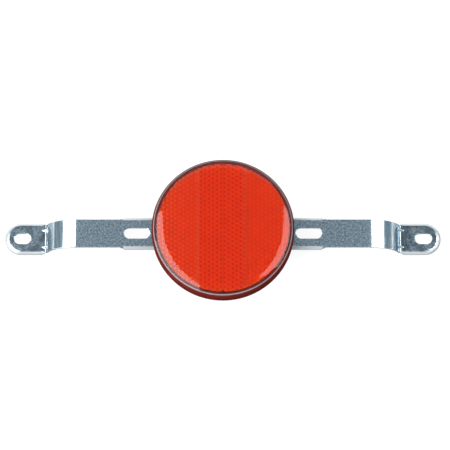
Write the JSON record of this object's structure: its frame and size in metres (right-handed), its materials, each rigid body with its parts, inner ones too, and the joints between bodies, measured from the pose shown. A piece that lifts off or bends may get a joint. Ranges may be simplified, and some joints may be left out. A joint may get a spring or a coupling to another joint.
{
  "type": "bicycle rear reflector",
  "caption": "Round red wide-angle reflector in a black back shell, bolted to the middle of a zinc-plated steel cross bracket with slotted, round-ended feet.",
  "frame": {"origin": "middle of the plane that the rims of the two feet stand on, below the centre of the lens", "axes": "+X along the bracket, +Y across it towards the top of the lens, +Z out of the lens"},
  "size_m": [0.2476, 0.08, 0.0289],
  "materials": {
    "red_lens": "clear red acrylic, polished",
    "black_shell": "moulded, fine satin",
    "zinc_plated_sheet": "bright zinc plate with a fine mottle",
    "zinc_plated_fastener": "bright zinc plate"
  },
  "bodies": {
    "root": {"lens": "red_lens", "back_shell": "black_shell", "cross_bracket": "zinc_plated_sheet", "stud_bolt": "zinc_plated_fastener", "plain_washer": "zinc_plated_fastener", "spring_washer": "zinc_plated_fastener", "nut": "zinc_plated_fastener"}
  },
  "joints": []
}
